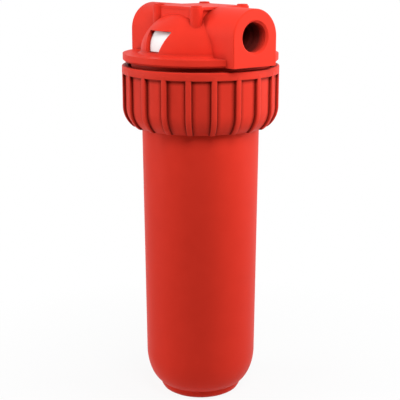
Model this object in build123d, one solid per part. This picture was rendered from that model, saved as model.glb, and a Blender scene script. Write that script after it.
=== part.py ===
"""A ten-inch water filter housing: a head with two pipe ports, a ribbed lock ring,
a bowl, its seal, and the pleated cartridge that stands inside.

Millimetres. The origin is the middle of the foot's underside and +Z points up.
The ports lie along X. The bowl hangs under the head, held by the lock ring.
"""
from build123d import *
import math
import os

# Head: flange, dome and mounting pad
FLANGE_UNDERSIDE_Z = 288.5
FLANGE_RADIUS = 64.3
FLANGE_THICKNESS = 6.4
FLANGE_CHAMFER = 1.6
DOME_RADIUS = 49.5
DOME_HEIGHT = 37.4
PAD_RISE = 38.3
PAD_DEPTH = 2.5
PAD_LENGTH_X = 57.0
PAD_WIDTH_Y = 51.0
PAD_CORNER_RADIUS = 2.5
EDGE_RADIUS = 0.6

# Head: pipe ports, G 3/4
PORT_FACE_X = 69.0
PORT_AXIS_RISE = 16.4
PORT_BLOCK_HALF_WIDTH = 22.0
PORT_THREAD_RADIUS = 12.06
PORT_THREAD_LENGTH = 17.0
PORT_CHAMFER = 1.4
PORT_RIM_RADIUS = 1.2
DUCT_RADIUS = 9.0
INLET_DROP_X = 29.0

# Head: bracket screw bosses
BOSS_SPACING_X = 50.0
BOSS_SPACING_Y = 47.0
BOSS_RADIUS = 5.3
BOSS_TIP_RADIUS = 4.4
BOSS_TIP_HEIGHT = 1.2
BOSS_HOLE_RADIUS = 2.1
BOSS_HOLE_DEPTH = 14.0

# Head: pockets in the front and back of the dome, wider at the top than at the sill
POCKET_SILL_HALF_WIDTH = 8.0
POCKET_SILL_RISE = 2.4
POCKET_TOP_HALF_WIDTH = 14.6
POCKET_TOP_RISE = 19.2
POCKET_CORNER_RADIUS = 1.0
POCKET_DEPTH = 4.0

# Head: skirt and water chambers
SKIRT_LENGTH = 38.0
SKIRT_WALL = 7.4
CHAMBER_ROOF_DROP = 0.5
CORE_POCKET_RADIUS = 35.0
CORE_POCKET_HEIGHT = 5.5
SPIGOT_RADIUS = 14.5

# Lock ring
RING_GAP = 3.3
RING_HEIGHT = 50.6
RING_WALL = 4.9
RING_STRAIGHT_HEIGHT = 33.5
RING_FOOT_OVERHANG = 7.3
RING_BAND_HEIGHT = 6.5
RING_RIM_RADIUS = 1.0
RING_RIB_COUNT = 20
RING_RIB_WIDTH = 4.6
RING_RIB_HEIGHT = 2.4
RING_FIRST_RIB_DEG = -46.3

# Bowl
BOWL_NECK_RADIUS = 49.1
BOWL_DRAFT = 0.0095
BOWL_WALL = 4.6
BOWL_END_START_Z = 36.5
BOWL_END_RADIAL = 18.0
BOWL_END_AXIAL = 31.0
BOWL_FLOOR = 9.0
FOOT_RADIUS = 34.8
FOOT_EDGE_RADIUS = 5.5
BOWL_FLANGE_WIDTH = 7.2
BOWL_FLANGE_THICKNESS = 8.0
COLLAR_HEIGHT = 12.0
COLLAR_LEAD_IN = 1.2
CENTRING_PEG_HEIGHT = 13.0
CENTRING_PEG_WALL = 2.5

# Bowl seal
SEAL_CORD_RADIUS = 1.65
SEAL_GROOVE_WIDTH = 4.4
SEAL_RISE = 6.5

# Cartridge
CARTRIDGE_BORE_RADIUS = 14.0
CAP_RADIUS = 31.5
CAP_THICKNESS = 3.0
CAP_RIM_HEIGHT = 7.0
CAP_RIM_WALL = 1.6
GASKET_RADIUS = 21.0
GASKET_THICKNESS = 3.0
CORE_WALL = 1.8
CORE_HOLE_RADIUS = 2.6
CORE_HOLE_ROWS = 9
CORE_HOLES_PER_ROW = 6
PLEAT_COUNT = 40
PLEAT_TIP_RADIUS = 29.4
PLEAT_VALLEY_RADIUS = 21.0

# Clearances
SEAT_GAP = 0.3
SKIRT_NECK_GAP = 0.9
THREAD_GAP = 2.8
SEAL_GAP = 0.05
CARTRIDGE_GAP = 0.25
ASSEMBLY_GAP = 0.02

# How far a cutting solid runs past what it cuts, and the flat left at a bowl end's lowest point
OVERCUT = 1.0
END_FLAT = 0.2

# Radii worked out from the bowl's neck outwards
SKIRT_BORE_RADIUS = BOWL_NECK_RADIUS + SKIRT_NECK_GAP
SKIRT_RADIUS = SKIRT_BORE_RADIUS + SKIRT_WALL
RING_BORE_RADIUS = SKIRT_RADIUS + THREAD_GAP
RING_RADIUS = RING_BORE_RADIUS + RING_WALL
RING_FOOT_RADIUS = BOWL_NECK_RADIUS + RING_FOOT_OVERHANG
BOWL_FLANGE_RADIUS = BOWL_NECK_RADIUS + BOWL_FLANGE_WIDTH

# Places worked out from the sizes above
FLANGE_TOP_Z = FLANGE_UNDERSIDE_Z + FLANGE_THICKNESS
PORT_AXIS_Z = FLANGE_TOP_Z + PORT_AXIS_RISE
PAD_TOP_Z = FLANGE_TOP_Z + PAD_RISE
SKIRT_END_Z = FLANGE_UNDERSIDE_Z - SKIRT_LENGTH
RING_TOP_Z = FLANGE_UNDERSIDE_Z - RING_GAP
RING_BOTTOM_Z = RING_TOP_Z - RING_HEIGHT
BOWL_FLANGE_TOP_Z = SKIRT_END_Z - SEAT_GAP
BOWL_FLANGE_BOTTOM_Z = BOWL_FLANGE_TOP_Z - BOWL_FLANGE_THICKNESS
COLLAR_TOP_Z = BOWL_FLANGE_TOP_Z + COLLAR_HEIGHT
COLLAR_RADIUS = SKIRT_BORE_RADIUS - SEAT_GAP
SEAL_Z = BOWL_FLANGE_TOP_Z + SEAL_RISE
SEAL_CENTRE_RADIUS = SKIRT_BORE_RADIUS - SEAL_GAP - SEAL_CORD_RADIUS
LOWER_GASKET_Z = BOWL_FLOOR + ASSEMBLY_GAP
LOWER_CAP_Z = LOWER_GASKET_Z + GASKET_THICKNESS
CARTRIDGE_TOP_Z = COLLAR_TOP_Z
UPPER_CAP_Z = CARTRIDGE_TOP_Z - CAP_THICKNESS
UPPER_GASKET_Z = CARTRIDGE_TOP_Z
SPIGOT_SEAT_Z = UPPER_GASKET_Z + GASKET_THICKNESS + SEAT_GAP
CHAMBER_ROOF_Z = FLANGE_TOP_Z - CHAMBER_ROOF_DROP
BOWL_BORE_RADIUS = BOWL_NECK_RADIUS - BOWL_WALL


STANDING = (Align.CENTER, Align.CENTER, Align.MIN)


def disc(radius, bottom_z, top_z):
    """A plain cylinder on the Z axis between two heights."""
    height = top_z - bottom_z
    return Pos(0, 0, bottom_z) * Cylinder(radius, height, align=STANDING)


def turned(outline):
    """The solid that a closed outline in the XZ plane makes when it is turned about Z."""
    return revolve(Plane.XZ * make_face(outline), Axis.Z)


def along_x(radius, start_x, end_x):
    """A cylinder along X at the height of the port axis."""
    middle = (start_x + end_x) / 2
    return Pos(middle, 0, PORT_AXIS_Z) * Rot(0, 90, 0) * Cylinder(radius, abs(end_x - start_x))


def dome(depth):
    """The elliptical dome, or the surface that lies this deep under it, as a solid."""
    radius = DOME_RADIUS - depth
    height = DOME_HEIGHT - depth
    root_z = FLANGE_TOP_Z - FLANGE_THICKNESS / 2
    arc = EllipticalCenterArc((0, FLANGE_TOP_Z), radius, height, 0, arc_size=90)
    sides = Polyline((0, FLANGE_TOP_Z + height), (0, root_z), (radius, root_z), (radius, FLANGE_TOP_Z))
    return turned(sides + arc)


def port_block():
    """The arched block that runs through the head from one port face to the other."""
    half = PORT_BLOCK_HALF_WIDTH
    root_z = FLANGE_UNDERSIDE_Z
    foot = Polyline((-half, PORT_AXIS_Z), (-half, root_z), (half, root_z), (half, PORT_AXIS_Z))
    arch = CenterArc((0, PORT_AXIS_Z), half, 0, 180)
    block = extrude(Plane.YZ * make_face(foot + arch), PORT_FACE_X, both=True)
    rims = block.edges().filter_by(GeomType.CIRCLE)
    return fillet(rims, PORT_RIM_RADIUS)


def mounting_pad():
    """The flat square pad on top, with a screw boss at each corner."""
    plate = Pos(0, 0, PAD_TOP_Z - PAD_DEPTH / 2) * Box(PAD_LENGTH_X, PAD_WIDTH_Y, PAD_DEPTH)
    plate = fillet(plate.edges().filter_by(Axis.Z), PAD_CORNER_RADIUS)
    plate = fillet(plate.faces().sort_by(Axis.Z)[-1].edges(), EDGE_RADIUS)
    tip = disc(BOSS_TIP_RADIUS, FLANGE_TOP_Z, PAD_TOP_Z + BOSS_TIP_HEIGHT)
    tip = fillet(tip.edges().sort_by(Axis.Z)[-1], EDGE_RADIUS)
    boss = disc(BOSS_RADIUS, FLANGE_TOP_Z, PAD_TOP_Z)
    boss = fillet(boss.edges().sort_by(Axis.Z)[-1], EDGE_RADIUS) + tip
    for place in GridLocations(BOSS_SPACING_X, BOSS_SPACING_Y, 2, 2):
        plate += place * boss
    return plate


def bracket_screw_holes():
    """The four blind holes that take the wall bracket's screws."""
    top = PAD_TOP_Z + BOSS_TIP_HEIGHT
    hole = disc(BOSS_HOLE_RADIUS, top - BOSS_HOLE_DEPTH, top)
    return [place * hole for place in GridLocations(BOSS_SPACING_X, BOSS_SPACING_Y, 2, 2)]


def pocket():
    """The pocket in the front of the dome, as the solid that is cut away."""
    sill_z = FLANGE_TOP_Z + POCKET_SILL_RISE
    top_z = FLANGE_TOP_Z + POCKET_TOP_RISE
    sill = [(-POCKET_SILL_HALF_WIDTH, sill_z), (POCKET_SILL_HALF_WIDTH, sill_z)]
    top = [(POCKET_TOP_HALF_WIDTH, top_z), (-POCKET_TOP_HALF_WIDTH, top_z)]
    outline = make_face(Polyline(*sill, *top, close=True))
    outline = fillet(outline.vertices(), POCKET_CORNER_RADIUS)
    cutter = extrude(Plane.XZ * outline, FLANGE_RADIUS)
    return cutter - dome(POCKET_DEPTH)


def port_bores():
    """Each port's threaded mouth, its chamfer and its duct, all cut away."""
    cuts = []
    for side in (-1, 1):
        mouth = side * PORT_FACE_X
        bottom = side * (PORT_FACE_X - PORT_THREAD_LENGTH)
        cuts.append(along_x(PORT_THREAD_RADIUS, bottom, mouth))
        lead_in = Cone(PORT_THREAD_RADIUS, PORT_THREAD_RADIUS + PORT_CHAMFER, PORT_CHAMFER)
        place = Pos(side * (PORT_FACE_X - PORT_CHAMFER / 2), 0, PORT_AXIS_Z)
        cuts.append(place * Rot(0, side * 90, 0) * lead_in)
    inlet_end = PORT_FACE_X - PORT_THREAD_LENGTH
    cuts.append(along_x(DUCT_RADIUS, INLET_DROP_X, inlet_end))
    cuts.append(Pos(INLET_DROP_X, 0, 0) * disc(DUCT_RADIUS, CHAMBER_ROOF_Z, PORT_AXIS_Z))
    cuts.append(Pos(INLET_DROP_X, 0, PORT_AXIS_Z) * Sphere(DUCT_RADIUS))
    cuts.append(along_x(DUCT_RADIUS, -inlet_end, 0))
    cuts.append(disc(DUCT_RADIUS, SPIGOT_SEAT_Z, PORT_AXIS_Z))
    cuts.append(Pos(0, 0, PORT_AXIS_Z) * Sphere(DUCT_RADIUS))
    return cuts


def chamber():
    """The raw-water space under the dome, around the central spigot."""
    space = disc(SKIRT_BORE_RADIUS, SKIRT_END_Z, FLANGE_UNDERSIDE_Z - FLANGE_THICKNESS)
    space += disc(CORE_POCKET_RADIUS, SKIRT_END_Z, CHAMBER_ROOF_Z + CORE_POCKET_HEIGHT)
    space += disc(BOWL_BORE_RADIUS, SKIRT_END_Z, CHAMBER_ROOF_Z)
    return space - disc(SPIGOT_RADIUS, SPIGOT_SEAT_Z, PORT_AXIS_Z)


def make_head():
    """The moulded head: flange, skirt, dome, port block, pad, ducts and chambers."""
    flange = disc(FLANGE_RADIUS, FLANGE_UNDERSIDE_Z, FLANGE_TOP_Z)
    flange = chamfer(flange.edges().sort_by(Axis.Z)[0], FLANGE_CHAMFER)
    body = dome(0) - pocket() - Rot(0, 0, 180) * pocket()
    body += flange + disc(SKIRT_RADIUS, SKIRT_END_Z, FLANGE_TOP_Z)
    body += port_block() + mounting_pad()
    body -= chamber()
    body -= port_bores()
    body -= bracket_screw_holes()
    return body


def ring_outline(depth):
    """The ring's outer line, moved inwards by depth, from its bottom edge to its top edge."""
    bend_z = RING_TOP_Z - RING_STRAIGHT_HEIGHT
    outer = RING_RADIUS - depth
    foot = RING_FOOT_RADIUS - depth
    bottom = RING_BOTTOM_Z
    curve = TangentArc((outer, bend_z), (foot, bottom), tangent=(0, -1))
    inner = BOWL_BORE_RADIUS
    rest = [(foot, bottom), (inner, bottom), (inner, RING_TOP_Z), (outer, RING_TOP_Z), (outer, bend_z)]
    return curve + Polyline(*rest)


def make_lock_ring():
    """The lock ring: a plain top band over recessed panels, with grip ribs between them."""
    full = turned(ring_outline(0))
    rim = full.edges().filter_by_position(Axis.Z, RING_TOP_Z, RING_TOP_Z).sort_by(SortBy.RADIUS)[-1]
    full = fillet(rim, RING_RIM_RADIUS)
    ring = turned(ring_outline(RING_RIB_HEIGHT))
    reach = RING_RADIUS + OVERCUT
    ring += full & disc(reach, RING_TOP_Z - RING_BAND_HEIGHT, RING_TOP_Z)
    rib = Box(reach, RING_RIB_WIDTH, RING_HEIGHT, align=(Align.MIN, Align.CENTER, Align.MIN))
    step = 360 / RING_RIB_COUNT
    for index in range(RING_RIB_COUNT):
        turn = RING_FIRST_RIB_DEG + index * step
        ring += full & (Rot(0, 0, turn) * Pos(0, 0, RING_BOTTOM_Z) * rib)
    lip_top_z = BOWL_FLANGE_BOTTOM_Z - SEAT_GAP
    ring -= disc(BOWL_NECK_RADIUS + SEAT_GAP, RING_BOTTOM_Z, lip_top_z)
    ring -= disc(BOWL_FLANGE_RADIUS + SEAT_GAP, lip_top_z, BOWL_FLANGE_TOP_Z)
    ring -= disc(RING_BORE_RADIUS, BOWL_FLANGE_TOP_Z, RING_TOP_Z)
    return ring


def bowl_half(neck_radius, end_radial, end_axial, floor_z, top_z):
    """A drafted wall with an elliptical end, as one closed solid of revolution."""
    foot_radius = neck_radius - BOWL_DRAFT * (BOWL_FLANGE_BOTTOM_Z - BOWL_END_START_Z)
    centre = (foot_radius - end_radial, BOWL_END_START_Z)
    end_angle = -math.degrees(math.asin((BOWL_END_START_Z - floor_z) / end_axial))
    reach = centre[0] + end_radial * math.cos(math.radians(end_angle))
    arc = EllipticalCenterArc(centre, end_radial, end_axial, 0, arc_size=end_angle)
    wall = [(foot_radius, BOWL_END_START_Z), (neck_radius, BOWL_FLANGE_BOTTOM_Z), (neck_radius, top_z)]
    core = [(0, top_z), (0, floor_z), (reach, floor_z)]
    return turned(arc + Polyline(*wall, *core))


def make_bowl():
    """The bowl: foot, drafted wall, rim flange, sealing collar and the cartridge's centring peg."""
    outer_floor = BOWL_END_START_Z - BOWL_END_AXIAL + END_FLAT
    shell = bowl_half(BOWL_NECK_RADIUS, BOWL_END_RADIAL, BOWL_END_AXIAL, outer_floor, BOWL_FLANGE_TOP_Z)
    foot = disc(FOOT_RADIUS, 0, BOWL_END_START_Z)
    shell += fillet(foot.edges().sort_by(Axis.Z)[0], FOOT_EDGE_RADIUS)
    shell += disc(BOWL_FLANGE_RADIUS, BOWL_FLANGE_BOTTOM_Z, BOWL_FLANGE_TOP_Z)
    collar = disc(COLLAR_RADIUS, BOWL_FLANGE_TOP_Z, COLLAR_TOP_Z)
    shell += chamfer(collar.edges().sort_by(Axis.Z)[-1], COLLAR_LEAD_IN)
    inner_radial = BOWL_END_RADIAL - BOWL_WALL
    inner_axial = BOWL_END_START_Z - BOWL_FLOOR + END_FLAT
    shell -= bowl_half(BOWL_BORE_RADIUS, inner_radial, inner_axial, BOWL_FLOOR, COLLAR_TOP_Z)
    groove_floor = SEAL_CENTRE_RADIUS - SEAL_CORD_RADIUS - ASSEMBLY_GAP
    groove = disc(COLLAR_RADIUS, SEAL_Z - SEAL_GROOVE_WIDTH / 2, SEAL_Z + SEAL_GROOVE_WIDTH / 2)
    shell -= groove - disc(groove_floor, SEAL_Z - SEAL_GROOVE_WIDTH, SEAL_Z + SEAL_GROOVE_WIDTH)
    peg_radius = CARTRIDGE_BORE_RADIUS - CARTRIDGE_GAP
    peg = disc(peg_radius, BOWL_FLOOR - OVERCUT, BOWL_FLOOR + CENTRING_PEG_HEIGHT)
    peg -= disc(peg_radius - CENTRING_PEG_WALL, BOWL_FLOOR, BOWL_FLOOR + CENTRING_PEG_HEIGHT)
    return shell + peg


def make_seal():
    """The seal ring in the collar's groove."""
    return Pos(0, 0, SEAL_Z) * Torus(SEAL_CENTRE_RADIUS, SEAL_CORD_RADIUS)


def make_gasket(bottom_z):
    """A flat gasket between the cartridge and what it stands on or seals against."""
    top_z = bottom_z + GASKET_THICKNESS
    return disc(GASKET_RADIUS, bottom_z, top_z) - disc(CARTRIDGE_BORE_RADIUS, bottom_z, top_z)


def make_end_cap(flat_z, rim_direction):
    """A moulded end cap: a flat disc with a rim that grips the ends of the pleats."""
    height = CAP_THICKNESS + CAP_RIM_HEIGHT
    cap = disc(CAP_RADIUS, 0, height)
    cap -= disc(CAP_RADIUS - CAP_RIM_WALL, CAP_THICKNESS, height)
    cap -= disc(CARTRIDGE_BORE_RADIUS, 0, height)
    if rim_direction < 0:
        cap = Rot(180, 0, 0) * cap
        return Pos(0, 0, flat_z + CAP_THICKNESS) * cap
    return Pos(0, 0, flat_z) * cap


def make_core():
    """The perforated core tube that the filtered water runs into."""
    bottom = LOWER_CAP_Z + CAP_THICKNESS + ASSEMBLY_GAP
    top = UPPER_CAP_Z - ASSEMBLY_GAP
    radius = CARTRIDGE_BORE_RADIUS + CORE_WALL
    core = disc(radius, bottom, top) - disc(CARTRIDGE_BORE_RADIUS, bottom, top)
    spacing = (top - bottom) / (CORE_HOLE_ROWS + 1)
    drill = Rot(0, 90, 0) * Cylinder(CORE_HOLE_RADIUS, radius + OVERCUT, align=STANDING)
    holes = []
    for row in range(CORE_HOLE_ROWS):
        for place in range(CORE_HOLES_PER_ROW):
            turn = 360 / CORE_HOLES_PER_ROW * (place + row % 2 / 2)
            holes.append(Pos(0, 0, bottom + spacing * (row + 1)) * Rot(0, 0, turn) * drill)
    return core - holes


def make_pleats():
    """The pleated filter sheet, folded into a star around the core tube."""
    bottom = LOWER_CAP_Z + CAP_THICKNESS + ASSEMBLY_GAP
    top = UPPER_CAP_Z - ASSEMBLY_GAP
    fold = 360 / PLEAT_COUNT
    points = []
    for index in range(PLEAT_COUNT):
        tip = math.radians(index * fold)
        valley = math.radians((index + 0.5) * fold)
        points.append((PLEAT_TIP_RADIUS * math.cos(tip), PLEAT_TIP_RADIUS * math.sin(tip)))
        points.append((PLEAT_VALLEY_RADIUS * math.cos(valley), PLEAT_VALLEY_RADIUS * math.sin(valley)))
    star = make_face(Polyline(*points, close=True))
    bore = disc(CARTRIDGE_BORE_RADIUS + CORE_WALL + ASSEMBLY_GAP, bottom, top)
    return extrude(Pos(0, 0, bottom) * star, top - bottom) - bore


PIECES = {
    "head": make_head,
    "lock_ring": make_lock_ring,
    "bowl": make_bowl,
    "bowl_seal": make_seal,
    "lower_gasket": lambda: make_gasket(LOWER_GASKET_Z),
    "lower_end_cap": lambda: make_end_cap(LOWER_CAP_Z, 1),
    "core_tube": make_core,
    "pleated_filter": make_pleats,
    "upper_end_cap": lambda: make_end_cap(UPPER_CAP_Z, -1),
    "upper_gasket": lambda: make_gasket(UPPER_GASKET_Z),
}

os.makedirs("parts", exist_ok=True)
for name, make in PIECES.items():
    export_step(make(), f"parts/{name}.step")
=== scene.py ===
"""Dresses a water filter housing: moulded red head, ribbed lock ring, deep bowl and cartridge.

Sizes of the housing are in millimetres, as a maker would quote them, and are turned into
metres where a mesh is made. +Z points up along the bowl's axis and the ports lie along X.
"""

import logging
import math
from collections.abc import Mapping, Sequence
from dataclasses import dataclass
from enum import Enum
from typing import Any

import bmesh
import bpy
from mathutils import Matrix, Vector


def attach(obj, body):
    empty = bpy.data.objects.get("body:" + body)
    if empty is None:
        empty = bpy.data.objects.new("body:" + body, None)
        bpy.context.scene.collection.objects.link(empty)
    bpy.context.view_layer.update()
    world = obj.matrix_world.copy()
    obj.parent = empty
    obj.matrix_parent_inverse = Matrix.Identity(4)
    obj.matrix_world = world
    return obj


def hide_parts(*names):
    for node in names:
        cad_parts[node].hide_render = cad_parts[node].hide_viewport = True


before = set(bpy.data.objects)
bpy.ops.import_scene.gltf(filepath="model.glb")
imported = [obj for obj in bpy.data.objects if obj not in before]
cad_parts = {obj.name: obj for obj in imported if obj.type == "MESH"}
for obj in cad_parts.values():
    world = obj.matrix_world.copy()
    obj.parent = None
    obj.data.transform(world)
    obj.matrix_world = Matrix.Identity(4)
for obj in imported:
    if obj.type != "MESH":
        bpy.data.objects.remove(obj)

LOG = logging.getLogger("filter_housing")
MM = 0.001
SMOOTH_ANGLE = math.radians(34)
WELD_DISTANCE = 1e-6
RUN_INS_A_TURN = 4.0
RIDGE_CORNERS = 4
WHITE = (1.0, 1.0, 1.0)

Point = tuple[float, float]
Corner = tuple[float, float, float]
Colour = tuple[float, float, float]


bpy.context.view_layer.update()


def linear(red: int, green: int, blue: int) -> Colour:
    """Turns a display colour into the linear colour that a material takes.

    Args:
        red: Red from 0 to 255.
        green: Green from 0 to 255.
        blue: Blue from 0 to 255.

    Returns:
        The linear colour, each channel from 0 to 1.
    """

    def channel(value: int) -> float:
        """Undoes the display curve for one channel."""
        part = value / 255
        return part / 12.92 if part <= 0.04045 else ((part + 0.055) / 1.055) ** 2.4

    return channel(red), channel(green), channel(blue)


# Nodes, for shaders and for geometry


class Wire:
    """A node's output that does arithmetic by adding Math nodes to its tree."""

    def __init__(self, builder: "Builder", socket: bpy.types.NodeSocket) -> None:
        """Wraps one output socket of the builder's tree."""
        self.builder = builder
        self.socket = socket

    def math(self, operation: str, first: Any, second: Any = 0.0, clamp: bool = False) -> "Wire":
        """Adds one Math node.

        Args:
            operation: The node's operation, such as MULTIPLY.
            first: A wire or a number.
            second: A wire or a number.
            clamp: Keeps the result between 0 and 1.

        Returns:
            The node's result.
        """
        settings = {"operation": operation, "use_clamp": clamp}
        return self.builder.add("ShaderNodeMath", settings, {0: first, 1: second})

    def __add__(self, other: Any) -> "Wire":
        """This value plus another."""
        return self.math("ADD", self, other)

    def __radd__(self, other: Any) -> "Wire":
        """Another value plus this one."""
        return self.math("ADD", other, self)

    def __sub__(self, other: Any) -> "Wire":
        """This value minus another."""
        return self.math("SUBTRACT", self, other)

    def __rsub__(self, other: Any) -> "Wire":
        """Another value minus this one."""
        return self.math("SUBTRACT", other, self)

    def __mul__(self, other: Any) -> "Wire":
        """This value times another."""
        return self.math("MULTIPLY", self, other)

    def __rmul__(self, other: Any) -> "Wire":
        """Another value times this one."""
        return self.math("MULTIPLY", other, self)

    def __truediv__(self, other: Any) -> "Wire":
        """This value divided by another."""
        return self.math("DIVIDE", self, other)

    def __rtruediv__(self, other: Any) -> "Wire":
        """Another value divided by this one."""
        return self.math("DIVIDE", other, self)

    def __pow__(self, other: Any) -> "Wire":
        """This value to a power."""
        return self.math("POWER", self, other)

    def others(self, *names: str) -> list["Wire"]:
        """Other outputs of the node that this value comes from.

        Args:
            names: The outputs' names.

        Returns:
            One wire for each name.
        """
        outputs = self.socket.node.outputs
        return [Wire(self.builder, outputs[name]) for name in names]

    def lesser(self, other: Any) -> "Wire":
        """The smaller of this value and another."""
        return self.math("MINIMUM", self, other)

    def clamped(self) -> "Wire":
        """This value kept between 0 and 1."""
        return self.math("ADD", self, 0.0, clamp=True)


@dataclass(frozen=True)
class Builder:
    """Adds nodes to one tree and joins them up.

    Attributes:
        tree: The shader or geometry tree that is being built.
    """

    tree: bpy.types.NodeTree

    @staticmethod
    def find(sockets: Any, key: int | str) -> bpy.types.NodeSocket:
        """Finds a socket by its place, its identifier or its name.

        Args:
            sockets: A node's inputs or outputs.
            key: The place, identifier or name.

        Returns:
            The socket.
        """
        if isinstance(key, int):
            return sockets[key]
        for socket in sockets:
            if socket.identifier == key:
                return socket
        return sockets[key]

    def add(
        self,
        kind: str,
        settings: Mapping[str, Any] | None = None,
        inputs: Mapping[int | str, Any] | None = None,
        output: int | str = 0,
    ) -> Wire:
        """Adds one node.

        Args:
            kind: The node's type.
            settings: Its settings.
            inputs: What its sockets are given, a wire or a plain value.
            output: Which output comes back.

        Returns:
            The chosen output.
        """
        node = self.tree.nodes.new(kind)
        for name, value in (settings or {}).items():
            setattr(node, name, value)
        for key, value in (inputs or {}).items():
            socket = self.find(node.inputs, key)
            if isinstance(value, Wire):
                self.tree.links.new(value.socket, socket)
            elif socket.type == "RGBA":
                socket.default_value = (*value, 1.0)
            else:
                socket.default_value = value
        return Wire(self, self.find(node.outputs, output)) if node.outputs else Wire(self, None)

    def mix(self, factor: Any, first: Any, second: Any) -> Wire:
        """Mixes two colours.

        Args:
            factor: How much of the second colour shows.
            first: A colour or a wire.
            second: A colour or a wire.

        Returns:
            The mixed colour.
        """
        settings = {"data_type": "RGBA", "clamp_factor": True}
        inputs = {"Factor_Float": factor, "A_Color": first, "B_Color": second}
        return self.add("ShaderNodeMix", settings, inputs, "Result_Color")

    def noise(self, place: Wire, scale: float, detail: float = 3.0) -> Wire:
        """A noise pattern from 0 to 1.

        Args:
            place: Where the pattern is read.
            scale: How many bumps fit in a metre.
            detail: How many finer layers it has.

        Returns:
            The pattern's value.
        """
        inputs = {"Vector": place, "Scale": scale, "Detail": detail}
        return self.add("ShaderNodeTexNoise", None, inputs)

    def object_place(self) -> Wire:
        """Where a point of the surface is, in the object's own coordinates."""
        return self.add("ShaderNodeTexCoord", None, None, "Object")

    def stretched(self, place: Wire, scale: tuple[float, float, float]) -> Wire:
        """A place scaled along each axis, which stretches a pattern that is read there."""
        return self.add("ShaderNodeMapping", None, {"Vector": place, "Scale": scale})

    def surface(self, inputs: Mapping[str, Any]) -> None:
        """Ends a material with the main shader, whose sockets get these inputs."""
        shader = self.add("ShaderNodeBsdfPrincipled", None, inputs)
        self.add("ShaderNodeOutputMaterial", None, {"Surface": shader})


def geometry_tree(name: str, sizes: Mapping[str, tuple[str, Any]]) -> tuple[Builder, Wire]:
    """Starts a geometry tree with named inputs.

    Args:
        name: The tree's name.
        sizes: Each input's name with its socket type and first value.

    Returns:
        The builder, and the group's input as a wire on its first output.
    """
    tree = bpy.data.node_groups.new(name, "GeometryNodeTree")
    tree.interface.new_socket("Geometry", in_out="OUTPUT", socket_type="NodeSocketGeometry")
    tree.interface.new_socket("Geometry", in_out="INPUT", socket_type="NodeSocketGeometry")
    for label, (socket_type, value) in sizes.items():
        socket = tree.interface.new_socket(label, in_out="INPUT", socket_type=socket_type)
        if value is not None:
            socket.default_value = value
    builder = Builder(tree)
    return builder, builder.add("NodeGroupInput")


def close_tree(builder: Builder, start: Wire, geometry: Wire) -> bpy.types.NodeTree:
    """Ends a geometry tree with real faces that carry the chosen material.

    Args:
        builder: The tree's builder.
        start: The group's input.
        geometry: What the tree has made.

    Returns:
        The finished tree.
    """
    real = builder.add("GeometryNodeRealizeInstances", None, {"Geometry": geometry})
    (material,) = start.others("Material")
    dressed = builder.add("GeometryNodeSetMaterial", None, {"Geometry": real, "Material": material})
    builder.add("NodeGroupOutput", None, {"Geometry": dressed})
    return builder.tree


def turned_tree() -> bpy.types.NodeTree:
    """Makes the tree that turns an outline about Z, as a lathe does.

    Returns:
        The tree, whose outline has its reach in X and its height downwards in Y.
    """
    sizes = {
        "Material": ("NodeSocketMaterial", None),
        "Path Radius": ("NodeSocketFloat", 0.01),
        "Segments": ("NodeSocketInt", 96),
    }
    builder, start = geometry_tree("turned", sizes)
    radius, segments = start.others("Path Radius", "Segments")
    inputs = {"Resolution": segments, "Radius": radius}
    circle = builder.add("GeometryNodeCurvePrimitiveCircle", None, inputs)
    upright = builder.add("GeometryNodeSetCurveNormal", {"mode": "Z_UP"}, {"Curve": circle})
    outline = builder.add("GeometryNodeMeshToCurve", None, {"Mesh": start})
    inputs = {"Curve": upright, "Profile Curve": outline}
    return close_tree(builder, start, builder.add("GeometryNodeCurveToMesh", None, inputs))


def around_tree() -> bpy.types.NodeTree:
    """Makes the tree that repeats a piece around Z.

    Returns:
        The tree, which takes how many copies there are and the first one's angle.
    """
    sizes = {
        "Material": ("NodeSocketMaterial", None),
        "Count": ("NodeSocketInt", 12),
        "First Angle": ("NodeSocketFloat", 0.0),
    }
    builder, start = geometry_tree("around", sizes)
    count, first = start.others("Count", "First Angle")
    points = builder.add("GeometryNodePoints", None, {"Count": count})
    index = builder.add("GeometryNodeInputIndex")
    turn = first + index * (math.tau / count)
    rotation = builder.add("ShaderNodeCombineXYZ", None, {"Z": turn})
    inputs = {"Points": points, "Instance": start, "Rotation": rotation}
    return close_tree(builder, start, builder.add("GeometryNodeInstanceOnPoints", None, inputs))


def thread_tree() -> bpy.types.NodeTree:
    """Makes the tree that winds a right-hand thread ridge about Z.

    Returns:
        The tree, which takes the wall's radius, the pitch, the turns and the ridge's height.
    """
    sizes = {
        "Material": ("NodeSocketMaterial", None),
        "Wall Radius": ("NodeSocketFloat", 0.05),
        "Pitch": ("NodeSocketFloat", 0.006),
        "Turns": ("NodeSocketFloat", 4.0),
        "Ridge": ("NodeSocketFloat", 0.002),
        "Steps": ("NodeSocketInt", 64),
    }
    builder, start = geometry_tree("thread", sizes)
    wall, pitch, turns, ridge, steps = start.others("Wall Radius", "Pitch", "Turns", "Ridge", "Steps")
    inputs = {
        "Resolution": steps,
        "Rotations": turns,
        "Start Radius": wall,
        "End Radius": wall,
        "Height": pitch * turns,
        "Reverse": True,
    }
    spiral = builder.add("GeometryNodeCurveSpiral", None, inputs)
    upright = builder.add("GeometryNodeSetCurveNormal", {"mode": "Z_UP"}, {"Curve": spiral})
    along = builder.add("GeometryNodeSplineParameter", None, None, "Factor")
    run_in = turns * RUN_INS_A_TURN
    taper = (along * run_in).lesser((1.0 - along) * run_in).lesser(1.0)
    sized = builder.add("GeometryNodeSetCurveRadius", None, {"Curve": upright, "Radius": taper})
    inputs = {"Resolution": RIDGE_CORNERS, "Radius": ridge}
    section = builder.add("GeometryNodeCurvePrimitiveCircle", None, inputs)
    inputs = {"Curve": sized, "Profile Curve": section, "Fill Caps": True}
    return close_tree(builder, start, builder.add("GeometryNodeCurveToMesh", None, inputs))


# Meshes


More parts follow.
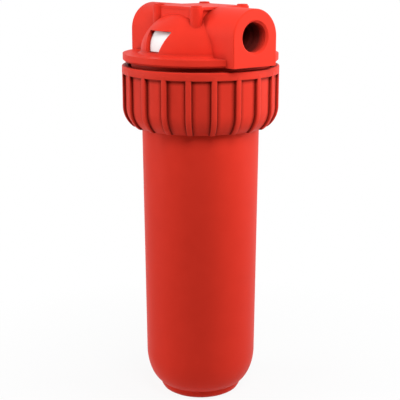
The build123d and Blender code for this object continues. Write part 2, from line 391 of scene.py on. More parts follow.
def new_object(name: str, mesh: bpy.types.Mesh) -> bpy.types.Object:
    """Puts a mesh in the scene as an object at the origin."""
    piece = bpy.data.objects.new(name, mesh)
    bpy.context.scene.collection.objects.link(piece)
    return piece


def plain_mesh(
    name: str,
    vertices: Sequence[Sequence[float]],
    edges: Sequence[tuple[int, int]] = (),
    faces: Sequence[Sequence[int]] = (),
) -> bpy.types.Mesh:
    """Makes a mesh from points in millimetres.

    Args:
        name: The mesh's name.
        vertices: The points.
        edges: Loose edges between them.
        faces: Faces between them.

    Returns:
        The mesh, in metres.
    """
    mesh = bpy.data.meshes.new(name)
    mesh.from_pydata([[value * MM for value in vertex] for vertex in vertices], edges, faces)
    return mesh


def tidy_mesh(mesh: bpy.types.Mesh) -> None:
    """Welds doubled points, turns the faces outwards and shades all but the sharp edges smooth."""
    work = bmesh.new()
    work.from_mesh(mesh)
    bmesh.ops.remove_doubles(work, verts=work.verts, dist=WELD_DISTANCE)
    bmesh.ops.dissolve_degenerate(work, edges=work.edges, dist=WELD_DISTANCE)
    bmesh.ops.recalc_face_normals(work, faces=work.faces)
    work.to_mesh(mesh)
    work.free()
    mesh.shade_smooth()
    mesh.set_sharp_from_angle(angle=SMOOTH_ANGLE)


def grown(
    name: str,
    source: bpy.types.Mesh,
    tree: bpy.types.NodeTree,
    values: Mapping[str, Any],
    place: Matrix | None = None,
) -> bpy.types.Mesh:
    """Runs a geometry tree on a mesh and keeps the result as a plain mesh.

    Args:
        name: The new mesh's name.
        source: The mesh that goes in.
        tree: The geometry tree.
        values: The named inputs and what they are set to.
        place: Where the result is moved to.

    Returns:
        The finished mesh.
    """
    carrier = new_object(f"{name}_carrier", source)
    modifier = carrier.modifiers.new("grow", "NODES")
    modifier.node_group = tree
    for item in tree.interface.items_tree:
        if item.in_out == "INPUT" and item.name in values:
            modifier[item.identifier] = values[item.name]
    bpy.context.view_layer.update()
    graph = bpy.context.evaluated_depsgraph_get()
    mesh = bpy.data.meshes.new_from_object(carrier.evaluated_get(graph))
    mesh.name = name
    carrier.modifiers.remove(modifier)
    bpy.data.objects.remove(carrier)
    if place is not None:
        mesh.transform(place)
    tidy_mesh(mesh)
    return mesh


def joined(
    name: str, meshes: Sequence[bpy.types.Mesh], material: bpy.types.Material
) -> bpy.types.Object:
    """Joins meshes of one material into one object.

    Args:
        name: The object's name.
        meshes: The meshes.
        material: What the object is made of.

    Returns:
        The object, at the origin.
    """
    work = bmesh.new()
    for mesh in meshes:
        work.from_mesh(mesh)
    result = bpy.data.meshes.new(name)
    work.to_mesh(result)
    work.free()
    result.materials.clear()
    result.materials.append(material)
    result.polygons.foreach_set("material_index", [0] * len(result.polygons))
    return new_object(name, result)


def arc(centre: Point, radii: Point, start: float, end: float, steps: int) -> list[Corner]:
    """Points along part of an ellipse, as corners with no rounding.

    Args:
        centre: The ellipse's middle.
        radii: Its half width and half height.
        start: The first angle in degrees.
        end: The last angle in degrees.
        steps: How many pieces the arc has.

    Returns:
        The points.
    """
    points = []
    for step in range(steps + 1):
        angle = math.radians(start + (end - start) * step / steps)
        across = centre[0] + radii[0] * math.cos(angle)
        points.append((across, centre[1] + radii[1] * math.sin(angle), 0.0))
    return points


def rounded(corners: Sequence[Corner], steps: int = 4) -> list[Point]:
    """Rounds the corners of a closed outline.

    Args:
        corners: Each corner's place and rounding radius, 0 for sharp.
        steps: How many pieces each rounding has.

    Returns:
        The outline's points.
    """
    points: list[Point] = []
    for index, (x, y, radius) in enumerate(corners):
        here = Vector((x, y))
        before = (Vector(corners[index - 1][:2]) - here).normalized()
        after = (Vector(corners[(index + 1) % len(corners)][:2]) - here).normalized()
        if radius == 0:
            points.append((x, y))
            continue
        half = before.angle(after) / 2
        centre = here + (before + after).normalized() * radius / math.sin(half)
        reach = radius / math.tan(half)
        first = here + before * reach - centre
        last = here + after * reach - centre
        for step in range(steps + 1):
            spoke = first.lerp(last, step / steps).normalized() * radius
            points.append(tuple(centre + spoke))
    return points


@dataclass(frozen=True)
class Lathe:
    """Turns closed outlines about Z.

    Attributes:
        tree: The geometry tree that does the turning.
        segments: How many flat pieces go round.
        path_radius: The circle that carries the outline.
    """

    tree: bpy.types.NodeTree
    segments: int = 144
    path_radius: float = 10.0

    def turn(self, name: str, corners: Sequence[Corner]) -> bpy.types.Mesh:
        """Turns one outline.

        Args:
            name: The mesh's name.
            corners: The closed outline, reach from the axis and height in millimetres.

        Returns:
            The solid's mesh.
        """
        points = rounded(corners)
        flat = [(reach - self.path_radius, -height, 0.0) for reach, height in points]
        edges = [(index, (index + 1) % len(flat)) for index in range(len(flat))]
        values = {"Path Radius": self.path_radius * MM, "Segments": self.segments}
        return grown(name, plain_mesh(f"{name}_outline", flat, edges), self.tree, values)


@dataclass(frozen=True)
class Thread:
    """A right-hand thread's sizes in millimetres.

    Attributes:
        wall: The radius of the wall that carries it.
        pitch: The rise for each turn.
        turns: How many turns there are.
        ridge: How far the ridge stands out of the wall.
    """

    wall: float
    pitch: float
    turns: float
    ridge: float


@dataclass(frozen=True)
class ThreadWinder:
    """Winds thread ridges.

    Attributes:
        tree: The geometry tree that winds them.
        steps_a_turn: How many pieces each turn has.
    """

    tree: bpy.types.NodeTree
    steps_a_turn: int = 72

    def wind(self, name: str, thread: Thread, place: Matrix) -> bpy.types.Mesh:
        """Winds one ridge, half of it sunk in the wall that carries it.

        Args:
            name: The mesh's name.
            thread: The thread's sizes.
            place: Where its first point's level is, as a transform in metres.

        Returns:
            The ridge's mesh.
        """
        values = {
            "Wall Radius": thread.wall * MM,
            "Pitch": thread.pitch * MM,
            "Turns": thread.turns,
            "Ridge": thread.ridge * MM,
            "Steps": self.steps_a_turn,
        }
        return grown(name, bpy.data.meshes.new(f"{name}_empty"), self.tree, values, place)


# Finishes

PORT_FACE = 69.0
PORT_LEVEL = 311.3
PORT_BORE = 12.06
# These size the mask of painted shade down the port bores; PORT_PAINTED_SHADE is its dark brown.
PORT_BORE_MARGIN = 0.7
PORT_LIGHT_REACH = 3.0
PORT_EDGE_GAIN = 2500.0
PORT_DEPTH_GAIN = 140.0
PORT_PAINTED_SHADE = linear(66, 26, 24)


def new_material(name: str) -> tuple[bpy.types.Material, Builder]:
    """Starts an empty material.

    Args:
        name: The material's name.

    Returns:
        The material, and the builder of its tree.
    """
    material = bpy.data.materials.new(name)
    material.use_nodes = True
    material.node_tree.nodes.clear()
    return material, Builder(material.node_tree)


@dataclass(frozen=True)
class MouldedPlastic:
    """Injection-moulded plastic with a fine spark-eroded grain.

    Attributes:
        name: The material's name.
        colour: Its colour on an open face.
        shade: Its colour where the pigment lies thicker.
        edge: Its colour where handling has rubbed an edge.
        gloss_low: Roughness where the mould was smoothest.
        gloss_high: Roughness where the grain is strongest.
        grain: Strength of the fine grain.
        edge_radius: How far a sharp edge looks rounded, in metres.
        flow_stretch: How much longer the flow marks are across the axis than along it.
        crevice_painted_shade: The painted shade's colour deep in a gap or beside a rib, where little
            light gets in.
        crevice_painted_shade_reach: How far from a wall a surface counts as being in a crevice, in
            metres.
        crevice_painted_shade_gain: How fast the painted shade darkens a surface as it closes in.
        crevice_painted_shade_depth: How strongly the painted shade darkens crevices, from 0 to 1.
        port_painted_shade: How strongly painted shade darkens the insides of the ports, from 0 to 1.
        flow_scale: Flow marks in a metre.
        cloud_scale: Soft clouds in a metre.
        speck_scale: Specks of pigment in a metre.
        grain_scale: Grains in a metre.
        sink_scale: Shallow sink marks in a metre.
        sink: Depth of the sink marks against the grain.
        bump_strength: How strongly the relief shows.
        bump_distance: How deep the relief is, in metres.
        specular: How strongly it reflects.
    """

    name: str
    colour: Colour
    shade: Colour
    edge: Colour
    gloss_low: float = 0.40
    gloss_high: float = 0.54
    grain: float = 0.05
    edge_radius: float = 0.0007
    flow_stretch: float = 2.5
    crevice_painted_shade: Colour = linear(96, 12, 6)
    crevice_painted_shade_reach: float = 0.006
    crevice_painted_shade_gain: float = 1.8
    crevice_painted_shade_depth: float = 0.0
    port_painted_shade: float = 0.0
    flow_scale: float = 22.0
    cloud_scale: float = 70.0
    speck_scale: float = 2600.0
    grain_scale: float = 1400.0
    sink_scale: float = 28.0
    sink: float = 0.35
    bump_strength: float = 0.30
    bump_distance: float = 0.0002
    specular: float = 0.1

    def port_shade_mask(self, nodes: Builder, place: Wire) -> Wire:
        """Where painted shade goes inside a port: from 0 at the mouth to 1 down the bore.

        Args:
            nodes: The material's builder.
            place: The point.

        Returns:
            The mask.
        """
        x, y, z = nodes.add("ShaderNodeSeparateXYZ", None, {"Vector": place}).others("X", "Y", "Z")
        level = z - PORT_LEVEL * MM
        off_axis = (y * y + level * level) ** 0.5
        inside = ((PORT_BORE + PORT_BORE_MARGIN) * MM - off_axis) * PORT_EDGE_GAIN
        lit_to = (PORT_FACE - PORT_LIGHT_REACH) * MM
        depth = (lit_to - x.math("ABSOLUTE", x)) * PORT_DEPTH_GAIN
        return inside.clamped() * depth.clamped()

    def make(self) -> bpy.types.Material:
        """Builds the material."""
        material, nodes = new_material(self.name)
        place = nodes.object_place()
        flow_place = nodes.stretched(place, (1.0, 1.0, 1.0 / self.flow_stretch))
        flow = nodes.noise(flow_place, self.flow_scale, 4.0)
        cloud = nodes.noise(place, self.cloud_scale, 5.0)
        speck = nodes.noise(place, self.speck_scale, 1.0)
        grain = nodes.noise(place, self.grain_scale, 2.0)
        sink = nodes.noise(place, self.sink_scale, 1.0)

        soft = nodes.add("ShaderNodeBevel", {"samples": 6}, {"Radius": self.edge_radius})
        hard = nodes.add("ShaderNodeNewGeometry", None, None, "Normal")
        dot = {"operation": "DOT_PRODUCT"}
        agree = nodes.add("ShaderNodeVectorMath", dot, {0: soft, 1: hard}, "Value")
        rubbed = ((1.0 - agree) * 3.0 * (cloud + 0.2)).clamped()

        pigment = (0.30 * flow + 0.55 * cloud + 0.15 * speck - 0.25).clamped()
        body = nodes.mix(pigment, self.shade, self.colour)
        colour = nodes.mix(rubbed * 0.6, body, self.edge)
        # Painted shade: ambient occlusion darkens gaps, creases and the sides of ribs towards the crevice
        # colour.
        if self.crevice_painted_shade_depth:
            reach = {"Distance": self.crevice_painted_shade_reach}
            open_sky = nodes.add("ShaderNodeAmbientOcclusion", {"samples": 8}, reach, "AO")
            crevice_shade_mask = ((1.0 - open_sky) * self.crevice_painted_shade_gain).clamped() * self.crevice_painted_shade_depth
            colour = nodes.mix(crevice_shade_mask, colour, self.crevice_painted_shade)
        # Painted shade: the port bores darken towards dark brown from a little inside the mouth.
        if self.port_painted_shade:
            colour = nodes.mix(self.port_shade_mask(nodes, place) * self.port_painted_shade, colour, PORT_PAINTED_SHADE)
        span = self.gloss_high - self.gloss_low
        rough = (self.gloss_low + span * (0.6 * cloud + 0.4 * grain) - rubbed * 0.06).clamped()
        relief = {
            "Strength": self.bump_strength,
            "Distance": self.bump_distance,
            "Height": grain * self.grain + sink * self.sink,
            "Normal": soft,
        }
        inputs = {
            "Base Color": colour,
            "Roughness": rough,
            "Specular IOR Level": self.specular,
            "Specular Tint": self.edge,
            "Normal": nodes.add("ShaderNodeBump", None, relief),
        }
        nodes.surface(inputs)
        return material


@dataclass(frozen=True)
class Rubber:
    """Pressed rubber with dust in its pores and a soft sheen.

    Attributes:
        name: The material's name.
        colour: The rubber's colour.
        dust: The colour of what lies on it.
        roughness: Its usual roughness.
        pore_scale: Pores in a metre.
        patch_scale: Dusty patches in a metre.
        dust_share: How much of the dust shows where it lies thickest.
    """

    name: str
    colour: Colour
    dust: Colour
    roughness: float = 0.55
    pore_scale: float = 1800.0
    patch_scale: float = 90.0
    dust_share: float = 0.25

    def make(self) -> bpy.types.Material:
        """Builds the material."""
        material, nodes = new_material(self.name)
        place = nodes.object_place()
        pores = nodes.noise(place, self.pore_scale, 2.0)
        patches = nodes.noise(place, self.patch_scale, 4.0)
        dusty = ((patches - 0.45) * 2.0).clamped() * self.dust_share
        colour = nodes.mix(dusty, self.colour, self.dust)
        rough = (self.roughness + 0.25 * (patches - 0.5)).clamped()
        relief = {"Strength": 0.25, "Distance": 0.0001, "Height": pores}
        bump = nodes.add("ShaderNodeBump", None, relief)
        nodes.surface({"Base Color": colour, "Roughness": rough, "Normal": bump})
        return material


@dataclass(frozen=True)
class FilterSheet:
    """Pleated filter sheet: matted fibres with a faint stain low on the folds.

    Attributes:
        name: The material's name.
        fibre: The clean sheet's colour.
        stain: The colour of fine silt in it.
        warp_scale: Fibres in a metre along the folds.
        weft_scale: Fibres in a metre across them.
        silt_scale: Patches of silt in a metre.
        silt_share: How much of the silt shows where it lies thickest.
    """

    name: str
    fibre: Colour
    stain: Colour
    warp_scale: float = 2200.0
    weft_scale: float = 1900.0
    silt_scale: float = 45.0
    silt_share: float = 0.35

    def make(self) -> bpy.types.Material:
        """Builds the material."""
        material, nodes = new_material(self.name)
        place = nodes.object_place()
        warp = nodes.noise(nodes.stretched(place, (1.0, 1.0, 0.2)), self.warp_scale, 3.0)
        weft = nodes.noise(nodes.stretched(place, (0.3, 0.3, 1.0)), self.weft_scale, 3.0)
        silt = nodes.noise(place, self.silt_scale, 5.0)
        stained = ((silt - 0.4) * 1.6).clamped() * self.silt_share
        colour = nodes.mix(stained, self.fibre, self.stain)
        relief = {"Strength": 0.5, "Distance": 0.0003, "Height": warp * weft}
        bump = nodes.add("ShaderNodeBump", None, relief)
        nodes.surface({"Base Color": colour, "Roughness": 0.85 + 0.1 * silt, "Normal": bump})
        return material


class Finish(Enum):
    """Every finish that the housing uses."""

    # The head carries painted crevice shade, and painted shade down its port bores.
    HEAD = MouldedPlastic(
        "head_red",
        linear(234, 60, 44),
        linear(222, 53, 38),
        linear(240, 92, 76),
        crevice_painted_shade_depth=0.5,
        port_painted_shade=0.9,
    )
    # Painted light: a slightly lighter copy of the head's red without crevice shade, so the webs under
    # the pad's shadow read bright.
    WEB_LIT = MouldedPlastic("web_red_lit", linear(238, 62, 45), linear(228, 55, 39), linear(240, 92, 76))
    # The ring carries strong painted shade beside its ribs and in its gaps.
    RING = MouldedPlastic(
        "ring_red",
        linear(228, 61, 46),
        linear(212, 54, 40),
        linear(236, 84, 68),
        crevice_painted_shade=linear(70, 10, 5),
        crevice_painted_shade_reach=0.004,
        crevice_painted_shade_gain=2.8,
        crevice_painted_shade_depth=0.95,
    )
    BOWL = MouldedPlastic(
        "bowl_red", linear(226, 58, 42), linear(212, 51, 36), linear(236, 86, 70), grain=0.03
    )
    SEAL = Rubber("seal_black", linear(22, 22, 24), linear(92, 90, 86))
    GASKET = Rubber("gasket_pale", linear(206, 205, 198), linear(168, 160, 146), 0.6)
    CAP = MouldedPlastic(
        "cap_white", linear(233, 232, 226), linear(218, 216, 208), linear(244, 243, 240), 0.38, 0.5
    )
    CORE = MouldedPlastic(
        "core_white", linear(226, 226, 220), linear(208, 207, 200), linear(240, 240, 236), 0.4, 0.52
    )
    PLATE = MouldedPlastic(
        "plate_white", linear(246, 246, 246), linear(238, 238, 237), linear(250, 250, 250), 0.4, 0.5, 0.02
    )
    SHEET = FilterSheet("sheet_white", linear(238, 236, 226), linear(205, 192, 166))


def finished(finish: Finish) -> bpy.types.Material:
    """Makes a finish once and hands back the same material each time."""
    known = bpy.data.materials.get(finish.value.name)
    return known if known else finish.value.make()


def dress(node: str, finish: Finish) -> None:
    """Gives a CAD node its procedural material."""
    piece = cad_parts[node]
    if not piece.data.materials:
        piece.data.materials.append(None)
    for place in piece.material_slots:
        place.material = finished(finish)
    LOG.info("dressed %s in %s", node, finish.value.name)


def keep(piece: bpy.types.Object, body: str, slot: str, *nodes: str) -> None:
    """Hangs a piece on its body and hides the CAD nodes that it stands for."""
    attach(piece, body)
    if nodes:
        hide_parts(*nodes)
    LOG.info("built %s with %d faces on %s", piece.name, len(piece.data.polygons), body)


# Sub-assemblies


@dataclass
class Bowl:
    """The deep bowl, its foot, rim flange, sealing collar and centring peg, in millimetres."""

    foot_radius: float = 34.8
    foot_edge: float = 5.5
    neck_radius: float = 49.1
    draft: float = 0.0095
    wall: float = 4.6
    end_start: float = 36.5
    end_radial: float = 18.0
    end_axial: float = 31.0
    floor: float = 9.0
    flange_radius: float = 56.3
    flange_bottom: float = 242.2
    flange_top: float = 250.2
    collar_radius: float = 49.7
    collar_top: float = 262.2
    collar_lead_in: float = 1.2
    groove_radius: float = 46.63
    groove_bottom: float = 254.5
    groove_top: float = 258.9
    peg_radius: float = 13.75
    peg_wall: float = 2.5
    peg_height: float = 13.0
    end_steps: int = 22

    def end_curve(self, radial: float, axial: float, lowest: float, reach: float) -> list[Corner]:
        """The elliptical end, from its side down to a level.

        Args:
            radial: The ellipse's half width.
            axial: Its half height.
            lowest: The level that it ends at.
            reach: The wall's radius where the end starts.

        Returns:
            Its points, highest first.
        """
        angle = -math.degrees(math.asin((self.end_start - lowest) / axial))
        return arc((reach - radial, self.end_start), (radial, axial), 0, angle, self.end_steps)

    def outline(self) -> list[Corner]:
        """The closed outline of the bowl's wall, from the foot's middle round to the inner floor."""
        slope = self.draft * (self.flange_bottom - self.end_start)
        outer = self.neck_radius - slope
        bore = self.neck_radius - self.wall
        cosine = (self.foot_radius - (outer - self.end_radial)) / self.end_radial
        shoulder = self.end_start - self.end_axial * math.sqrt(1 - cosine**2)
        outside = self.end_curve(self.end_radial, self.end_axial, shoulder, outer)
        inner_axial = self.end_start - self.floor + 0.2
        inside = self.end_curve(self.end_radial - self.wall, inner_axial, self.floor, bore - slope)
        peg_top = self.floor + self.peg_height
        peg_bore = self.peg_radius - self.peg_wall
        return [
            (0.0, 0.0, 0.0),
            (self.foot_radius, 0.0, self.foot_edge),
            *reversed(outside),
            (self.neck_radius, self.flange_bottom, 0.0),
            (self.flange_radius, self.flange_bottom, 0.4),
            (self.flange_radius, self.flange_top, 0.4),
            (self.collar_radius, self.flange_top, 0.0),
            (self.collar_radius, self.groove_bottom, 0.15),
            (self.groove_radius, self.groove_bottom, 0.0),
            (self.groove_radius, self.groove_top, 0.0),
            (self.collar_radius, self.groove_top, 0.15),
            (self.collar_radius, self.collar_top - self.collar_lead_in, 0.3),
            (self.collar_radius - self.collar_lead_in, self.collar_top, 0.3),
            (bore, self.collar_top, 0.4),
            (bore, self.flange_bottom, 0.0),
            *inside,
            (self.peg_radius, self.floor, 0.8),
            (self.peg_radius, peg_top, 0.6),
            (peg_bore, peg_top, 0.6),
            (peg_bore, self.floor, 0.8),
            (0.0, self.floor, 0.0),
        ]

    def build(self, lathe: Lathe) -> None:
        """Turns the bowl and puts it in place of the CAD one."""
        mesh = lathe.turn("bowl_shell", self.outline())
        keep(joined("bowl_shell", [mesh], finished(Finish.BOWL)), "bowl", "bowl_plastic", "bowl")


@dataclass
class LockRing:
    """The lock ring: plain band, recessed panels, grip ribs and the inner thread, in millimetres."""

    top: float = 285.2
    bottom: float = 234.6
    radius: float = 65.1
    bore: float = 60.2
    band_height: float = 6.5
    straight: float = 33.5
    foot_radius: float = 56.4
    rim: float = 1.0
    seat_radius: float = 56.6
    seat_top: float = 250.2
    lip_top: float = 241.9
    neck_bore: float = 49.4
    rib_count: int = 20
    rib_width: float = 4.6
    rib_height: float = 2.4
    rib_root: float = 1.2
    rib_flare: float = 0.35
    rib_edge: float = 0.9
    first_rib: float = -46.3
    thread: Thread = Thread(60.2, 6.0, 4.0, 2.2)
    thread_start: float = 257.0
    curve_steps: int = 14

    def side_line(self, depth: float) -> list[Corner]:
        """The ring's side, this deep under the ribs' outer faces, from the bottom edge up."""
        foot = self.foot_radius - depth
        outer = self.radius - depth
        bend = self.top - self.straight
        run, drop = outer - foot, bend - self.bottom
        bend_radius = (run**2 + drop**2) / (2 * run)
        end = -math.degrees(math.asin(drop / bend_radius))
        return arc((outer - bend_radius, bend), (bend_radius, bend_radius), end, 0, self.curve_steps)

    def outline(self) -> list[Corner]:
        """The closed outline of the ring without its ribs."""
        panel = self.radius - self.rib_height
        band = self.top - self.band_height
        return [
            (self.neck_bore, self.bottom, 0.4),
            *self.side_line(self.rib_height),
            (panel, band, 1.2),
            (self.radius, band, 0.5),
            (self.radius, self.top, self.rim),
            (self.bore, self.top, 0.5),
            (self.bore, self.seat_top, 0.0),
            (self.seat_radius, self.seat_top, 0.3),
            (self.seat_radius, self.lip_top, 0.0),
            (self.neck_bore, self.lip_top, 0.4),
        ]

    def rib_section(self) -> list[Point]:
        """A rib's section: how far to the side, and how deep under its outer face."""
        half = self.rib_width / 2
        deep = self.rib_height + self.rib_root
        edge = self.rib_edge
        bevel = edge * 0.3
        side = [(half + self.rib_flare, deep), (half, edge), (half - bevel, bevel), (half - edge, 0.0)]
        return [(-across, depth) for across, depth in side] + list(reversed(side))

    def rib_mesh(self) -> bpy.types.Mesh:
        """Sweeps a rib's section down the ring's side, as one closed solid.

        Returns:
            The rib on the +X side.
        """
        line = [point[:2] for point in self.side_line(0.0)]
        line.append((self.radius, self.top - self.band_height / 2))
        section = self.rib_section()
        vertices: list[Sequence[float]] = []
        for index, (reach, height) in enumerate(line):
            ahead = Vector(line[min(index + 1, len(line) - 1)])
            behind = Vector(line[max(index - 1, 0)])
            run, rise = (ahead - behind).normalized()
            if index == 0:
                run, rise = 0.0, 1.0
            for across, depth in section:
                vertices.append((reach - depth * rise, across, height + depth * run))
        size = len(section)
        last = len(vertices) - size
        faces: list[Sequence[int]] = [list(range(size)), list(range(last, len(vertices)))]
        for row in range(len(line) - 1):
            for column in range(size):
                after = (column + 1) % size
                low, high = row * size, (row + 1) * size
                faces.append((low + column, low + after, high + after, high + column))
        return plain_mesh("rib", vertices, faces=faces)

    def build(self, lathe: Lathe, around: bpy.types.NodeTree, winder: ThreadWinder) -> None:
        """Makes the ring with its ribs and inner thread, and puts it in place of the CAD one."""
        values = {"Count": self.rib_count, "First Angle": math.radians(self.first_rib)}
        ribs = grown("ring_ribs", self.rib_mesh(), around, values)
        level = Matrix.Translation((0, 0, self.thread_start * MM))
        thread = winder.wind("ring_thread", self.thread, level)
        meshes = [lathe.turn("ring_body", self.outline()), ribs, thread]
        ring = joined("ring_shell", meshes, finished(Finish.RING))
        keep(ring, "lock_ring", "ring_plastic", "lock_ring")


@dataclass
class Head:
    """What the moulded head carries besides its CAD solid, in millimetres."""

    skirt_thread: Thread = Thread(57.4, 6.0, 4.4, 2.2)
    skirt_thread_start: float = 254.0
    port_thread_depth: float = 15.0
    port_thread_pitch: float = 1.814
    port_thread_ridge: float = 0.5
    port_chamfer: float = 1.4
    flange_top: float = 294.9
    pocket_floor_radius: float = 45.5
    pocket_floor_rise: float = 33.4
    plate_low: Point = (7.4, 3.0)
    plate_high: Point = (13.9, 18.6)
    plate_lift: float = 0.1
    plate_thickness: float = 0.6
    plate_columns: int = 16
    plate_rows: int = 12
    web_plan: tuple[Point, ...] = ((-26.5, -9.0), (-26.5, -25.4), (25.0, -25.4), (26.5, -9.0))
    web_bottom: float = 312.0
    web_top: float = 332.7
    dome_radius: float = 49.5
    root_radius: float = 2.4
    root_overlap: float = 1.0
    root_sink: float = 0.3

    def port_thread(self, side: int, winder: ThreadWinder) -> bpy.types.Mesh:
        """Winds the pipe thread in one port.

        Args:
            side: 1 for the port on +X, -1 for the one on -X.
            winder: What winds threads.

        Returns:
            The thread's mesh.
        """
        turns = (self.port_thread_depth - self.port_chamfer) / self.port_thread_pitch
        thread = Thread(PORT_BORE, self.port_thread_pitch, turns, self.port_thread_ridge)
        start = side * (PORT_FACE - self.port_thread_depth) * MM
        place = Matrix.Translation((start, 0, PORT_LEVEL * MM))
        place = place @ Matrix.Rotation(side * math.pi / 2, 4, "Y")
        return winder.wind("port_thread", thread, place)

    def plate_skin(self, lift: float) -> list[tuple[float, float, float]]:
        """A grid of points over the front pocket's floor, row by row from the sill up.

        Args:
            lift: How far the grid stands off the floor.

        Returns:
            The points.
        """
        points = []
        for row in range(self.plate_rows + 1):
            share = row / self.plate_rows
            half = self.plate_low[0] + (self.plate_high[0] - self.plate_low[0]) * share
            rise = self.plate_low[1] + (self.plate_high[1] - self.plate_low[1]) * share
            level = 1 - (rise / (self.pocket_floor_rise + lift)) ** 2
            for column in range(self.plate_columns + 1):
                x = half * (2 * column / self.plate_columns - 1)
                reach = math.sqrt((self.pocket_floor_radius + lift) ** 2 * level - x**2)
                points.append((x, -reach, self.flange_top + rise))
        return points

    def plate_mesh(self) -> bpy.types.Mesh:
        """The blank plate on the front pocket's floor, as one closed solid.

        Returns:
            The plate's mesh.
        """
        back = self.plate_skin(self.plate_lift)
        front = self.plate_skin(self.plate_lift + self.plate_thickness)
        wide = self.plate_columns + 1
        size = len(back)
        faces: list[Sequence[int]] = []
        for row in range(self.plate_rows):
            for column in range(self.plate_columns):
                first = row * wide + column
                quad = (first, first + 1, first + 1 + wide, first + wide)
                faces.append(quad)
                faces.append(tuple(size + corner for corner in reversed(quad)))
        bottom = list(range(wide))
        right = [row * wide + wide - 1 for row in range(1, self.plate_rows + 1)]
        top = list(range(size - 2, size - wide - 1, -1))
        left = [row * wide for row in range(self.plate_rows - 1, 0, -1)]
        rim = bottom + right + top + left
        for here, after in zip(rim, rim[1:] + rim[:1]):
            faces.append((after, here, size + here, size + after))
        mesh = plain_mesh("front_plate", back + front, faces=faces)
        tidy_mesh(mesh)
        return mesh

    def web_mesh(self, side: int) -> bpy.types.Mesh:
        """The web that fills in under the pad between two bosses.

        Args:
            side: 1 for the front, -1 for the back, which is the front turned half round.

        Returns:
            The web's mesh, as one closed solid.
        """
        size = len(self.web_plan)
        levels = (self.web_bottom, self.web_top)
        vertices = [(side * x, side * y, level) for level in levels for x, y in self.web_plan]
        faces: list[Sequence[int]] = [tuple(range(size)), tuple(range(size, 2 * size))]
        for here in range(size):
            after = (here + 1) % size
            faces.append((here, after, after + size, here + size))
        mesh = plain_mesh("pad_web", vertices, faces=faces)
        tidy_mesh(mesh)
        return mesh

    def root_outline(self) -> list[Corner]:
        """The closed outline of the hollow curve between the dome's root and the flange."""
        radius = self.root_radius
        outer, top = self.dome_radius + radius, self.flange_top + radius
        inner, sunk = self.dome_radius - self.root_overlap, self.flange_top - self.root_sink
        hollow = arc((outer, top), (radius, radius), 180, 270, 6)
        return [(inner, top, 0.0), *hollow, (outer, sunk, 0.0), (inner, sunk, 0.0)]

    def build(self, lathe: Lathe, winder: ThreadWinder) -> None:
        """Dresses the head's solid and adds what it carries: threads, webs and the blank plate."""
        dress("head", Finish.HEAD)
        level = Matrix.Translation((0, 0, self.skirt_thread_start * MM))
        skirt = winder.wind("skirt_thread", self.skirt_thread, level)
        ports = [self.port_thread(side, winder) for side in (1, -1)]
        webs = [self.web_mesh(side) for side in (1, -1)]
        root = lathe.turn("dome_root", self.root_outline())
        pieces = {
            "skirt_thread": ([skirt], Finish.HEAD),
            "port_threads": (ports, Finish.HEAD),
            "pad_webs": (webs, Finish.WEB_LIT),
            "dome_root": ([root], Finish.HEAD),
            "front_plate": ([self.plate_mesh()], Finish.PLATE),
        }
        for name, (meshes, finish) in pieces.items():
            keep(joined(name, meshes, finished(finish)), "head", "head_plastic")


@dataclass
class Cartridge:
    """The cartridge and its seals, which keep their CAD shapes."""

    def build(self) -> None:
        """Gives each inner piece its finish."""
        dress("bowl_seal", Finish.SEAL)
        for gasket in ("lower_gasket", "upper_gasket"):
            dress(gasket, Finish.GASKET)
        for cap in ("lower_end_cap", "upper_end_cap"):
            dress(cap, Finish.CAP)
        dress("core_tube", Finish.CORE)
        dress("pleated_filter", Finish.SHEET)


# Studio


@dataclass(frozen=True)
class SoftLight:
    """A soft area light that looks at the housing.

    Attributes:
        name: The light's name.
        place: Where it hangs, in metres.
        target: The point that it faces.
        size: Its width and height.
        power: Its power in watts.
    """

    name: str
    place: tuple[float, float, float]
    target: tuple[float, float, float]
    size: Point
    power: float

    def build(self) -> None:
        """Hangs the light."""
        light = bpy.data.lights.new(self.name, "AREA")
        light.shape = "RECTANGLE"
        light.size, light.size_y = self.size
        light.energy = self.power
        lamp = bpy.data.objects.new(self.name, light)
        bpy.context.scene.collection.objects.link(lamp)
        lamp.location = self.place
        towards = Vector(self.target) - Vector(self.place)
        lamp.rotation_euler = towards.to_track_quat("-Z", "Y").to_euler()


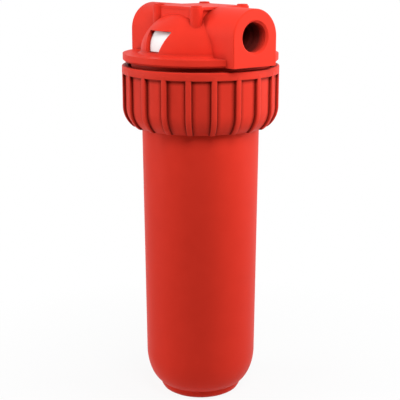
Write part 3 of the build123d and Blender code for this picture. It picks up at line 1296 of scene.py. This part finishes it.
@dataclass
class Studio:
    """The white studio: floor, world, soft lights and the camera."""

    ahead: tuple[float, float] = (0.790, -0.613)
    camera_place: tuple[float, float, float] = (0.6542, -0.5075, 0.3755)
    camera_pitch: float = 14.0
    lens: float = 89.64
    shift: float = -0.00175
    floor_size: float = 3.0
    floor_level: float = -0.0002
    floor_grey: float = 0.8
    shadow_reach: float = 0.30
    shadow_share: float = 0.10
    ambient: float = 0.03

    def place(self, forward: float, right: float, up: float) -> tuple[float, float, float]:
        """A point given from the housing, towards the camera, to its right and up, in metres."""
        towards_x, towards_y = self.ahead
        x = forward * towards_x - right * towards_y
        y = forward * towards_y + right * towards_x
        return (x, y, up)

    def white_seen(self, nodes: Builder) -> Wire:
        """1 for rays that see the studio straight, in a gloss or through glass, and else 0."""
        rays = nodes.add("ShaderNodeLightPath")
        names = ("Is Camera Ray", "Is Glossy Ray", "Is Transmission Ray")
        camera, glossy, through = rays.others(*names)
        return (camera + glossy + through).clamped()

    def build_world(self) -> None:
        """Lights the studio evenly, and white where it is seen."""
        world = bpy.data.worlds.new("studio")
        bpy.context.scene.world = world
        world.use_nodes = True
        world.node_tree.nodes.clear()
        nodes = Builder(world.node_tree)
        strength = self.ambient + self.white_seen(nodes) * (1.0 - self.ambient)
        inputs = {"Color": WHITE, "Strength": strength}
        backdrop = nodes.add("ShaderNodeBackground", None, inputs)
        nodes.add("ShaderNodeOutputWorld", None, {"Surface": backdrop})

    def build_floor(self) -> None:
        """Lays the pale floor, which keeps a soft shadow near the foot."""
        half = self.floor_size / 2
        corners = ((-half, -half), (half, -half), (half, half), (-half, half))
        vertices = [(x, y, self.floor_level) for x, y in corners]
        mesh = bpy.data.meshes.new("floor")
        mesh.from_pydata(vertices, [], [(0, 1, 2, 3)])
        floor = new_object("floor", mesh)
        material, nodes = new_material("floor_white")
        length = {"operation": "LENGTH"}
        distance = nodes.add("ShaderNodeVectorMath", length, {0: nodes.object_place()}, "Value")
        near = (1.0 - distance / self.shadow_reach).clamped()
        lit = nodes.add("ShaderNodeBsdfDiffuse", None, {"Color": (self.floor_grey,) * 3})
        glow = nodes.add("ShaderNodeEmission", None, {"Color": WHITE, "Strength": 1.0})
        seen = self.white_seen(nodes) * (1.0 - self.shadow_share * near)
        surface = nodes.add("ShaderNodeMixShader", None, {0: seen, 1: lit, 2: glow})
        nodes.add("ShaderNodeOutputMaterial", None, {"Surface": surface})
        mesh.materials.append(material)

    def build_lights(self) -> None:
        """Hangs the soft lights: tall ones at the sides, and small ones near the head."""
        middle = (0.0, 0.0, 0.17)
        top = (0.0, 0.0, 0.30)
        lights = [
            SoftLight("left_bank", self.place(0.05, -0.95, 0.42), middle, (0.5, 1.1), 8.2),
            SoftLight("right_strip", self.place(-0.15, 0.80, 0.25), middle, (0.3, 1.2), 3.3),
            SoftLight("right_box", self.place(0.12, 0.50, 0.42), top, (0.3, 0.3), 1.7),
            SoftLight("front_box", self.place(0.36, 0.10, 0.57), top, (0.22, 0.22), 1.6),
            SoftLight("top_box", self.place(0.05, 0.0, 0.65), top, (0.2, 0.2), 0.35),
        ]
        for light in lights:
            light.build()

    def build_camera(self) -> None:
        """Sets up the camera where the photographer stood."""
        camera = bpy.data.cameras.new("camera")
        camera.lens = self.lens
        camera.sensor_width = 36.0
        camera.shift_x = self.shift
        camera.clip_start = 0.01
        stand = bpy.data.objects.new("camera", camera)
        bpy.context.scene.collection.objects.link(stand)
        stand.location = self.camera_place
        level = math.cos(math.radians(self.camera_pitch))
        drop = math.sin(math.radians(self.camera_pitch))
        look = Vector((-self.ahead[0] * level, -self.ahead[1] * level, -drop))
        stand.rotation_euler = look.to_track_quat("-Z", "Y").to_euler()
        bpy.context.scene.camera = stand

    def build(self) -> None:
        """Sets up the whole studio."""
        bpy.context.scene.view_settings.view_transform = "Standard"
        self.build_world()
        self.build_floor()
        self.build_lights()
        self.build_camera()
        LOG.info("studio ready")


def main() -> None:
    """Builds every sub-assembly and the studio."""
    logging.basicConfig(level=logging.INFO, format="%(name)s: %(message)s")
    lathe = Lathe(turned_tree())
    winder = ThreadWinder(thread_tree())
    Head().build(lathe, winder)
    LockRing().build(lathe, around_tree(), winder)
    Bowl().build(lathe)
    Cartridge().build()
    Studio().build()


if __name__ == "__main__":
    main()
